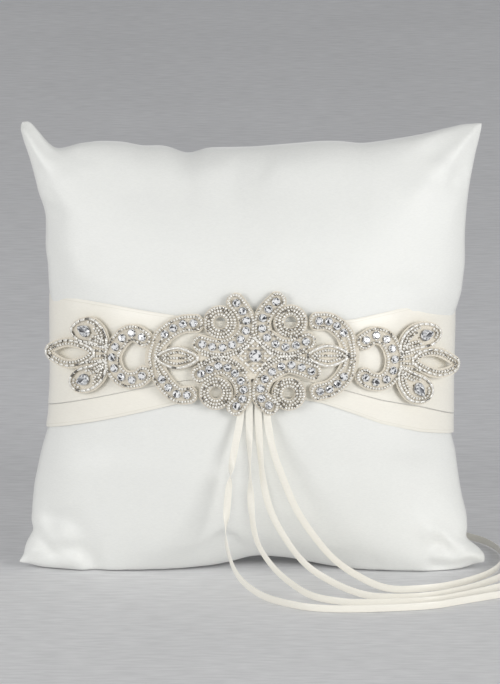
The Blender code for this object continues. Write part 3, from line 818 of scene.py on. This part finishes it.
bpy.ops.object.select_all(action="DESELECT")
bpy.ops.mesh.primitive_cylinder_add(vertices=8, radius=BUGLE_RADIUS, depth=BUGLE_LONG,
                                    rotation=(0, np.pi / 2, 0), location=(0, 0, BUGLE_RADIUS))
bugle_bead = bpy.context.object
bugle_bead.name = "bugle_bead"
bpy.ops.object.mode_set(mode="EDIT")
bpy.ops.mesh.select_all(action="DESELECT")
bpy.ops.mesh.select_mode(type="FACE")
bpy.ops.object.mode_set(mode="OBJECT")
for face in bugle_bead.data.polygons:
    face.select = len(face.vertices) > 4
bpy.ops.object.mode_set(mode="EDIT")
bpy.ops.mesh.bevel(offset=0.12 * MM, segments=1, affect="EDGES")
bpy.ops.mesh.select_all(action="DESELECT")
bpy.ops.object.mode_set(mode="OBJECT")
bpy.ops.object.shade_smooth_by_angle(angle=np.radians(50))
as_master(bugle_bead, beads_glass)
print("seed bead", len(seed_bead.data.polygons), "faces; bugle", len(bugle_bead.data.polygons))

# %% [markdown]
# A cut stone is a low cylinder whose upper rim is drawn in to a flat table, with the ring of
# facets turned half a step against the rim below, which is what makes their triangles. It sits
# in a metal cup with four claws bent over it.

# %% The cut stone
SEAT = 0.9
CROWN = 0.84


def next_rim(rise, grow, turn):
    """Draws the selected rim up to the next one, and sizes and turns that."""
    bpy.ops.mesh.extrude_edges_move(TRANSFORM_OT_translate={"value": (0, 0, rise)})
    bpy.ops.transform.resize(value=(grow, grow, 1))
    bpy.ops.transform.rotate(value=turn, orient_axis="Z", center_override=(0, 0, 0))


def sorted_facets(stone):
    """Cutting leaves the facets in a different order each time, so they are sorted by their places."""
    mesh = stone.data
    middles = np.array([face.center[:] for face in mesh.polygons]) / mesh.vertices[0].co.length
    turned = np.mod(np.arctan2(middles[:, 1], middles[:, 0]) + 0.05, 2 * np.pi)
    order = np.lexsort(np.round((np.hypot(middles[:, 0], middles[:, 1]), turned, middles[:, 2]), 3))
    facets = [tuple(mesh.polygons[int(k)].vertices) for k in order]
    stone.data = bpy.data.meshes.new(stone.name)
    stone.data.from_pydata([tuple(corner.co) for corner in mesh.vertices], [], facets)
    return stone


def cut_stone(name, sides, girdle, table, tall):
    """A stone from its seat up: the girdle, the crown's rim and the table, each half a step on."""
    bpy.ops.object.select_all(action="DESELECT")
    bpy.ops.mesh.primitive_circle_add(vertices=sides, radius=girdle * SEAT, fill_type="NOTHING")
    stone = bpy.context.object
    stone.name = name
    bpy.ops.object.mode_set(mode="EDIT")
    bpy.ops.mesh.select_all(action="SELECT")
    next_rim(tall * 0.35, 1 / SEAT, 0)
    next_rim(tall * 0.4, CROWN, np.pi / sides)
    next_rim(tall * 0.25, table / girdle / CROWN, np.pi / sides)
    bpy.ops.mesh.edge_face_add()
    bpy.ops.mesh.select_all(action="SELECT")
    bpy.ops.mesh.quads_convert_to_tris()
    bpy.ops.mesh.normals_make_consistent(inside=False)
    bpy.ops.object.mode_set(mode="OBJECT")
    return sorted_facets(stone)


# %% The claw cup
CLAW = (0.22 * MM, 0.5 * MM)


def claw_cup(name, radius, tall):
    """A plated ring, half sunk in the beading, with four claws that lean in over the stone."""
    bpy.ops.object.select_all(action="DESELECT")
    bpy.ops.mesh.primitive_cylinder_add(vertices=12, radius=radius, depth=tall * 0.5)
    parts = [bpy.context.object]
    for angle in np.pi / 4 + np.arange(4) * np.pi / 2:
        place = Vector((np.cos(angle), np.sin(angle), 0)) * radius * 0.93 + Vector((0, 0, tall * 0.17))
        bpy.ops.mesh.primitive_cube_add(size=1, location=place, rotation=(0, 0, angle))
        claw = bpy.context.object
        claw.scale = (*CLAW, tall * 0.84)
        bpy.ops.object.transform_apply(location=True, rotation=True, scale=True)
        for corner in claw.data.vertices:
            if corner.co.z > 0:
                corner.co.x, corner.co.y = corner.co.x * 0.86, corner.co.y * 0.86
        parts.append(claw)
    for part in parts:
        part.select_set(True)
    bpy.context.view_layer.objects.active = parts[0]
    bpy.ops.object.join()
    parts[0].name = name
    return parts[0]


# %% The round stone in its cup
STONE = 3.5
# Painted reflections: the glint of each facet in turn, from dark to bright
FACETS = np.array([0.05, 0.95, 0.6, 1.0, 0.15, 0.8, 0.45, 0.02, 1.0, 0.7, 0.3])
bare_stone = as_master(cut_stone("round_stone", 8, 1.86 * MM, 1.05 * MM, 1.5 * MM), crystal)
paint_glint(bare_stone, FACETS)
cup = as_master(claw_cup("claw_cup", 1.84 * MM, 1.75 * MM), cup_metal)
print("stone", len(bare_stone.data.polygons), "facets; cup", len(cup.data.polygons), "faces")

# %% The pear-cut stone and the large centre stone
PEAR_LONG, PEAR_HALF_WIDE = 3.1 * MM, 2.55 * MM
pear_stone = as_master(cut_stone("pear_stone", 12, 1.0, 0.55, 1.0), crystal)
for corner in pear_stone.data.vertices:
    x, y, z = corner.co
    narrow = 1 - 0.62 * max(0.0, x) ** 1.5
    long = 1.35 if x > 0 else 0.95
    corner.co = (x * long * PEAR_LONG, y * narrow * PEAR_HALF_WIDE, (0.25 + z * 1.9) * MM)
# The pear's facets get painted reflections too
paint_glint(pear_stone, np.array([0.42, 0.5, 0.3, 0.95, 0.38, 0.2, 0.55, 0.45, 0.1, 0.6, 0.35, 0.8, 0.4]))
centre_master = as_master(cut_stone("centre_round", 12, 2.8 * MM, 1.4 * MM, 2.3 * MM), crystal)
# and so do the centre stone's facets
paint_glint(centre_master, np.array([0.98, 0.5, 1.0, 0.1, 0.9, 1.0, 0.3, 0.75, 0.05]))
print("pear", len(pear_stone.data.polygons), "facets")

# %% [markdown]
# ## Sewing things on
# A row is drawn in the flat plan. Each copy is headed along its row and stands square to the
# satin under it. The copies of one row are joined, since the maker strings and couches them as
# one length.

# %% Copies on the satin
BEADS_AT = 3.1 * MM
rng = np.random.default_rng(7)


def directions(path, closed=False):
    ahead = np.roll(path, -1, axis=0) - np.roll(path, 1, axis=0) if closed else np.gradient(path, axis=0)
    return unit(ahead)


def left_of(path, closed=False):
    ahead = directions(path, closed)
    return np.stack([-ahead[:, 1], ahead[:, 0]], axis=1)


def sew(master, path, heading, lift, spins=None, glints=None):
    """One copy of the master for each plan place, not yet joined."""
    here = bed(path[:, 0], path[:, 1], lift)
    out = unit(bed(path[:, 0], path[:, 1], lift + MM) - here)
    near = path + heading * 0.05
    ahead = bed(near[:, 0], near[:, 1], lift) - here
    ahead = unit(ahead - (ahead * out).sum(axis=1, keepdims=True) * out)
    over = np.cross(out, ahead)
    copies = []
    for k in range(len(path)):
        made = master.copy()
        made.data = master.data.copy()
        turn = Matrix.Rotation(0.0 if spins is None else float(spins[k]), 4, "Z")
        axes = Matrix(np.column_stack([ahead[k], over[k], out[k]]).tolist()).to_4x4()
        made.matrix_world = Matrix.Translation(Vector(here[k])) @ axes @ turn
        if glints is not None:
            paint_glint(made, glints[k])
        bpy.context.scene.collection.objects.link(made)
        copies.append(made)
    return copies


def joined(name, copies, slot, *nodes):
    bpy.ops.object.select_all(action="DESELECT")
    for made in copies:
        made.select_set(True)
    bpy.context.view_layer.objects.active = copies[0]
    bpy.ops.object.join()
    row = bpy.context.object
    row.name = row.data.name = name
    bpy.ops.object.transform_apply(location=True, rotation=True, scale=True)
    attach(row, "root")
    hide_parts(*nodes)


def join_beads(name, copies, node):
    joined(name, copies, "silver_lined_beads", node)


def join_stones(name, copies, node):
    joined(name, copies, "foiled_crystal", node)


# %% Rows of beads and stones
SEED_PITCH = 1.18
BUGLE_PITCH = 2.15
SEED_LIFT = BEADS_AT - 0.25 * MM
STONE_LIFT = BUGLE_LIFT = BEADS_AT - 0.2 * MM
CUP_LIFT = BEADS_AT - 0.3 * MM
# Share of beads that get a painted dark reflection streak
DARK_SHARE = 0.5


def bead_glints(count, faces):
    """Painted reflections: each bead's faces are as bright as its silver lining throws back light, but for
    one painted dark streak on some of them.
    """
    bright = rng.uniform(0.35, 1.0, (count, 1)) * np.ones((count, faces))
    for k in np.nonzero(rng.random(count) < DARK_SHARE)[0]:
        start = rng.integers(faces)
        bright[k, np.arange(start, start + faces // 4) % faces] = 0.0
    return bright


def strung(master, path, pitch, lift, closed, wobble):
    """Beads strung evenly along a path."""
    at = spaced(np.vstack([path, path[:1]]) if closed else path, pitch, closed)
    spins = rng.normal(0, wobble, len(at)) if wobble else None
    glints = bead_glints(len(at), len(master.data.polygons))
    return sew(master, at, directions(at, closed), lift, spins, glints)


def seed_row(path, closed=False):
    return strung(seed_bead, path, SEED_PITCH, SEED_LIFT, closed, wobble=0.12)


def bugle_row(path, closed=False):
    return strung(bugle_bead, path, BUGLE_PITCH, BUGLE_LIFT, closed, wobble=0)


def stone_row(path, count):
    """Stones in their cups, each turned its own way and with its painted glints shuffled, so that their
    facets catch the light in turn.
    """
    run = run_of(path)
    at = STONE / 2 + np.arange(count) * (run[-1] - STONE) / (count - 1)
    places = np.stack([np.interp(at, run, path[:, k]) for k in range(2)], axis=1)
    heading = directions(places)
    sides = len(FACETS)
    # Each stone's painted reflections, shuffled
    glints = [np.roll(FACETS, rng.integers(sides))[rng.permutation(sides)] for _ in range(count)]
    stones = sew(bare_stone, places, heading, STONE_LIFT, rng.uniform(0, 6.3, count), glints)
    return stones + sew(cup, places, heading, CUP_LIFT)


# %% A strand of stones between two rows of beads
PLAN_STEP = 0.4
ROW_OFFSET = STONE / 2 + 0.2 + BEAD / 2
EDGE_OFFSET = ROW_OFFSET + 1.25
net_bands = []  # (path, half width, how far it runs past its ends) for the net underneath


def tip_arc(path, end):
    """The beads that go round the end stone of a row, from one side to the other."""
    ahead = directions(path)[end]
    ahead = -ahead if end == 0 else ahead
    side = np.array([-ahead[1], ahead[0]])
    centre = path[end] - ahead * 0.9
    turns = np.linspace(np.radians(72), -np.radians(72), 9)[:, None]
    return centre + ROW_OFFSET * (np.sin(turns) * side + np.cos(turns) * ahead)


def jewelled(name, points, count, edged=0):
    """edged is the side that has one more row of beads along its middle: 1 left, -1 right."""
    path = smooth(points, PLAN_STEP)
    side = left_of(path)
    left = seed_row(path + side * ROW_OFFSET) + seed_row(tip_arc(path, 0))
    right = seed_row(path - side * ROW_OFFSET) + seed_row(tip_arc(path, -1))
    if edged:
        part = slice(round(len(path) * 0.42), round(len(path) * 0.92))
        left += seed_row((path + side * edged * EDGE_OFFSET)[part])
    join_beads(f"{name}_seed_left", left, f"{name}_beads_left")
    join_beads(f"{name}_seed_right", right, f"{name}_beads_right")
    join_stones(f"{name}_cups", stone_row(path, count), f"{name}_stones")
    net_bands.append((path, ROW_OFFSET + 1.2, 2.3))


# %% The four scrolls
SCROLLS = {
    "upper_left": [(-7.9, 23.2), (-3.4, 17.0), (-2.7, 11.6), (-5.4, 6.8), (-13.1, 3.6), (-22.4, 5.4)],
    "upper_right": [(10.6, 23.6), (4.8, 17.6), (3.6, 12.4), (5.8, 7.6), (13.1, 3.9), (23.2, 6.6)],
    "lower_left": [(-7.9, -21.6), (-3.9, -16.0), (-5.8, -8.6), (-13.0, -3.8), (-22.8, -7.8)],
    "lower_right": [(7.8, -21.2), (2.8, -15.8), (5.6, -8.0), (14.4, -3.4), (25.4, -6.6)],
}
EDGED = {"upper_left": 1, "upper_right": -1, "lower_left": -1, "lower_right": 1}
for corner_name, points in SCROLLS.items():
    jewelled(f"scroll_{corner_name}", points, 9, EDGED[corner_name])
print("scrolls", len(SCROLLS))

# %% The rings beside them
RINGS = {
    "upper_left": (-13.4, 13.9), "upper_right": (15.3, 14.2),
    "lower_left": (-15.2, -14.9), "lower_right": (14.6, -15.2),
}
RING_RADII = (6.0, 4.7, 3.3)


def round_line(centre, radius, count):
    turns = np.linspace(0, 2 * np.pi, count, endpoint=False)
    return np.array(centre) + radius * np.stack([np.cos(turns), np.sin(turns)], axis=1)


for corner_name, centre in RINGS.items():
    beads = [bead for radius in RING_RADII for bead in seed_row(round_line(centre, radius, 60), closed=True)]
    join_beads(f"ring_{corner_name}_seed", beads, f"ring_{corner_name}_beads")
    middle_line = round_line(centre, RING_RADII[1], 40)
    net_bands.append((np.vstack([middle_line, middle_line[:2]]), 2.4, 0.0))
print("rings", len(RINGS))

# %% The large C on each side
LARGE_CS = {
    "left": [(-22.6, 13.6), (-29.8, 12.8), (-37.2, 7.6), (-40.4, -0.8), (-37.4, -9.4), (-31.2, -15.6),
             (-25.2, -15.8)],
    "right": [(25.2, 14.4), (31.8, 13.8), (37.6, 8.4), (39.6, 0.0), (37.6, -7.6), (32.2, -13.0),
              (25.6, -14.8)],
}
for side_name, points in LARGE_CS.items():
    name = f"large_c_{side_name}"
    path = smooth(points, PLAN_STEP)
    side = left_of(path)
    arm = round(len(path) * 0.34)
    bare = slice(arm - 6, len(path) - arm + 6)  # the stretch between the two strands of stones
    along = np.linspace(0, 1, len(path))
    narrow = ease(along, 0.3, 0.45) * ease(along, 0.7, 0.55)
    offset = side * (ROW_OFFSET - 0.95 * narrow)[:, None]
    left = seed_row(path + offset) + seed_row(tip_arc(path, 0)) + seed_row((path + side * 0.5)[bare])
    right = seed_row(path - offset) + seed_row(tip_arc(path, -1))
    join_beads(f"{name}_seed_left", left, f"{name}_beads_left")
    join_beads(f"{name}_seed_right", right, f"{name}_beads_right")
    join_stones(f"{name}_upper_cups", stone_row(path[:arm], 4), f"{name}_upper_stones")
    join_stones(f"{name}_lower_cups", stone_row(path[-arm:], 4), f"{name}_lower_stones")
    net_bands.append((path, ROW_OFFSET + 1.2, 2.3))
print("large Cs", len(LARGE_CS))

# %% The leaf inside each large C
LEAVES = {"left": (-31.0, -0.7), "right": (30.6, 0.2)}


def leaf_outline(across, up, half_long, half_high):
    steps = [(-half_long, 0), (0, half_high), (half_long, 0), (0, -half_high)]
    return [(across + x, up + y) for x, y in steps]


for side_name, (across, up) in LEAVES.items():
    beads = bugle_row(smooth(leaf_outline(across, up, 8.4, 4.1), PLAN_STEP, closed=True), closed=True)
    beads += seed_row(smooth(leaf_outline(across, up, 6.4, 2.3), PLAN_STEP, closed=True), closed=True)
    beads += seed_row(np.array([(across - 4.8, up), (across, up), (across + 4.8, up)]))
    join_beads(f"leaf_{side_name}_rows", beads, f"leaf_{side_name}_beads")
print("leaves", len(LEAVES))

# %% The small Cs
SMALL_CS = {
    "left": [(-43.8, 6.6), (-48.8, 9.2), (-53.4, 7.0), (-57.4, 0.2), (-56.2, -6.4), (-52.0, -10.0),
             (-47.0, -9.6), (-44.0, -7.2)],
    "right": [(44.6, 5.4), (49.8, 8.2), (54.8, 6.0), (57.6, -0.8), (56.6, -7.6), (52.6, -11.0),
              (47.6, -10.4), (44.6, -8.0)],
}
for side_name, points in SMALL_CS.items():
    jewelled(f"small_c_{side_name}", points, 9)
print("small Cs", len(SMALL_CS))

# %% [markdown]
# Each end spreads into three petals. The upper and lower ones hold a pear-cut stone with part rows
# of beads that stop short of it, and the middle one is open, with a fan of short rows at its root.
# The part rows could each be drawn, but they follow the petal's outline, so they are worked out
# from it.

# %% The petals' outlines
PETALS = {
    "left_middle": [(-65.4, 0.4), (-69.6, 3.4), (-76.0, 4.4), (-82.4, 1.8), (-83.6, 0.0), (-82.0, -2.2),
                    (-76.0, -4.6), (-69.6, -3.2)],
    "left_upper": [(-60.4, 4.2), (-61.6, 9.6), (-65.6, 13.6), (-70.6, 12.6), (-73.0, 9.4), (-70.4, 6.2),
                   (-65.2, 5.4)],
    "left_lower": [(-60.6, -3.6), (-61.8, -9.4), (-66.2, -13.8), (-71.6, -14.6), (-73.6, -11.6),
                   (-70.8, -7.6), (-65.4, -5.6)],
    "right_middle": [(65.6, -2.8), (69.6, 0.4), (75.6, 0.2), (81.8, -3.4), (83.0, -5.2), (81.2, -7.6),
                     (75.4, -8.6), (69.6, -6.2)],
    "right_upper": [(60.8, 1.8), (62.0, 7.2), (66.8, 11.2), (72.8, 11.0), (75.4, 8.0), (72.6, 4.4),
                    (66.6, 3.2)],
    "right_lower": [(60.4, -6.6), (60.4, -12.6), (64.4, -18.4), (70.0, -19.0), (72.2, -15.6),
                    (70.0, -11.4), (65.2, -8.8)],
}
# Each teardrop's place, and the way its point looks in degrees
TEARDROPS = {
    "left_upper": ((-68.4, 9.4), 150), "left_lower": ((-68.8, -10.8), 205),
    "right_upper": ((70.2, 7.6), 20), "right_lower": ((67.4, -14.6), 300),
}
STONE_CLEAR = 3.9


def outward(path):
    """Unit steps away from the inside of a closed line, whichever way round it was drawn."""
    following = np.roll(path, -1, axis=0)
    twice_area = (path[:, 0] * following[:, 1] - following[:, 0] * path[:, 1]).sum()
    return -np.sign(twice_area) * left_of(path, closed=True)


def rows_clear_of(centre, line):
    """Beads along the line, left out where the stone at the centre is in the way."""
    line = line[np.hypot(*(line - centre).T) > STONE_CLEAR]
    parts = np.split(line, np.nonzero(np.linalg.norm(np.diff(line, axis=0), axis=1) > 1.2)[0] + 1)
    return [bead for part in parts if len(part) > 4 for bead in seed_row(part)]


def fan_rows(root):
    """Four short rows that spread from the small C into the root of a middle petal."""
    side = np.sign(root[0])
    shares = np.linspace(0, 1, 12)[:, None]
    beads = []
    for apart in (-3.2, -1.1, 1.1, 3.2):
        start = np.array([root[0] - 5.6 * side, root[1] + apart * 0.7])
        end = np.array([root[0] - 0.6 * side + abs(apart) * 0.8 * side, root[1] + apart * 1.25])
        beads += seed_row(start + shares * (end - start))
    return beads


# %% The petals at each end
net_patches = []  # closed lines that are filled with net
for petal, points in PETALS.items():
    path = smooth(points, PLAN_STEP, closed=True)
    out = outward(path)
    beads = bugle_row(path + out * 0.7, closed=True)
    if petal in TEARDROPS:
        centre, degrees = TEARDROPS[petal]
        for inset in (0.65, 1.95):
            beads += rows_clear_of(centre, path - out * inset)
        heading = np.array([(np.cos(np.radians(degrees)), np.sin(np.radians(degrees)))])
        drop = sew(pear_stone, np.array([centre]), heading, STONE_LIFT)
        join_stones(f"pear_{petal}", drop, f"teardrop_{petal}")
        net_patches.append(path + out * 1.8)
    else:
        root_x, root_up = points[0]
        end_side = np.sign(root_x)
        beads += seed_row(path - out * 0.65, closed=True) + fan_rows(points[0])
        root_patch = [(root_x - 6.5 * end_side, root_up), (root_x, root_up + 5.0),
                      (root_x + 3.0 * end_side, root_up), (root_x, root_up - 5.0)]
        net_patches.append(smooth(root_patch, 0.8, closed=True))
        net_bands.append((np.vstack([path, path[:2]]), 2.0, 0.0))
    join_beads(f"petal_{petal}_rows", beads, f"petal_{petal}_beads")
print("petals", len(PETALS))

# %% The centre: a diamond of bugles round a stone
DIAMOND_REACH = 6.9
INNER_SHARE = 0.72
centre = np.array([(0.9, 0.4)])
corners = centre + DIAMOND_REACH * np.array([(1, 0), (0, 1), (-1, 0), (0, -1), (1, 0)])
beads = []
for a, b in zip(corners, corners[1:], strict=False):
    at = a + (b - a) * np.array([[0.19], [0.5], [0.81]])
    heading = unit(np.array([b - a] * 3))
    inside = centre + (at - centre) * INNER_SHARE
    # The glints are painted reflections, given bead by bead
    beads += sew(bugle_bead, at, heading, BUGLE_LIFT, glints=[[0.95], [0.6], [1.0]])
    beads += sew(seed_bead, inside, heading, SEED_LIFT, glints=[[0.8], [0.05], [1.0]])
beads += sew(seed_bead, corners[:4], unit(corners[:4] - centre), SEED_LIFT, glints=[[0.8]] * 4)
join_beads("centre_diamond_bugles", beads, "centre_diamond_beads")
join_stones("centre_jewel", sew(centre_master, centre, np.array([(1.0, 0.0)]), STONE_LIFT), "centre_stone")
centre_patch = [(-23, 0), (-14, 7), (-5, 12), (0, 8.5), (5, 12), (14, 7), (24, 0), (14, -7), (5, -12),
                (0, -9), (-5, -12), (-14, -7)]
net_patches.append(smooth(centre_patch, 1.0, closed=True))
for across, up in LEAVES.values():
    net_patches.append(smooth(leaf_outline(across, up, 9.6, 5.0), 0.8, closed=True))
print("beads and stones sewn on", len(net_bands), "bands and", len(net_patches), "patches of net")

# %% [markdown]
# ## The net under the beads
# The beads are sewn to stiff beige net, cut close round them, so a thin line of it shows at every
# edge and between the rows. It is laid out as bands under the rows and patches under the filled
# shapes, each a hair higher than the last, and given its thickness at the end.

# %% Bands and patches of net
BACKING_AT = 2.3 * MM
NET_STEP = 0.9
NET_THICK = 0.35 * MM
HAIR = 0.012 * MM
END_TAPER = (0.45, 0.78, 0.94)
net_points, net_faces = [], []


def lay_net(places, lift):
    """A grid of plan places as net, that much above the satin."""
    first = len(net_points)
    rows, columns = places.shape[:2]
    net_points.extend(bed(places[..., 0], places[..., 1], lift).reshape(-1, 3).tolist())
    net_faces.extend([first + corner for corner in face] for face in grid_faces(rows, columns))


def net_band(path, half_wide, past):
    """Net under a row. Where it runs past the row's ends it narrows to a rounded tip."""
    if past:
        ahead = directions(path)
        path = np.vstack([path[:1] - ahead[:1] * past, path, path[-1:] + ahead[-1:] * past])
    path = spaced(path, NET_STEP)
    wide = np.full(len(path), half_wide)
    if past:
        for k, share in enumerate(END_TAPER):
            wide[[k, -1 - k]] *= share
    shares = np.linspace(-1, 1, 7)
    return path[:, None] - left_of(path)[:, None] * (shares * wide[:, None])[..., None]


def net_patch(outline):
    """Net inside a closed line, drawn in rings towards its middle."""
    outline = spaced(np.vstack([outline, outline[:1]]), NET_STEP)
    centre = outline[:-1].mean(axis=0)
    twice_area = (outline[:-1, 0] * outline[1:, 1] - outline[1:, 0] * outline[:-1, 1]).sum()
    shares = np.linspace(0.05, 1, 6)[:: 1 if twice_area > 0 else -1]
    return centre + (outline[:, None] - centre) * shares[:, None]


net_grids = [net_band(*band) for band in net_bands] + [net_patch(outline) for outline in net_patches]
for number, places in enumerate(net_grids):
    lay_net(places, BACKING_AT + number * HAIR)
net_backing = new_piece("net_backing", net_points, net_faces)
net_backing.data.materials.append(net)
bpy.ops.object.select_all(action="DESELECT")
net_backing.select_set(True)
bpy.context.view_layer.objects.active = net_backing
thicken = net_backing.modifiers.new("Thickness", "SOLIDIFY")
thicken.thickness = NET_THICK
thicken.offset = 1
bpy.ops.object.modifier_apply(modifier=thicken.name)
bpy.ops.object.shade_smooth_by_angle(angle=np.radians(40))
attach(net_backing, "root")
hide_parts("applique_backing")

# %% [markdown]
# ## Putting the tools away
# The masters are taken out.

# %% Taking the masters out
for master in (seed_bead, bugle_bead, bare_stone, cup, pear_stone, centre_master):
    bpy.data.objects.remove(master)
bpy.context.view_layer.update()
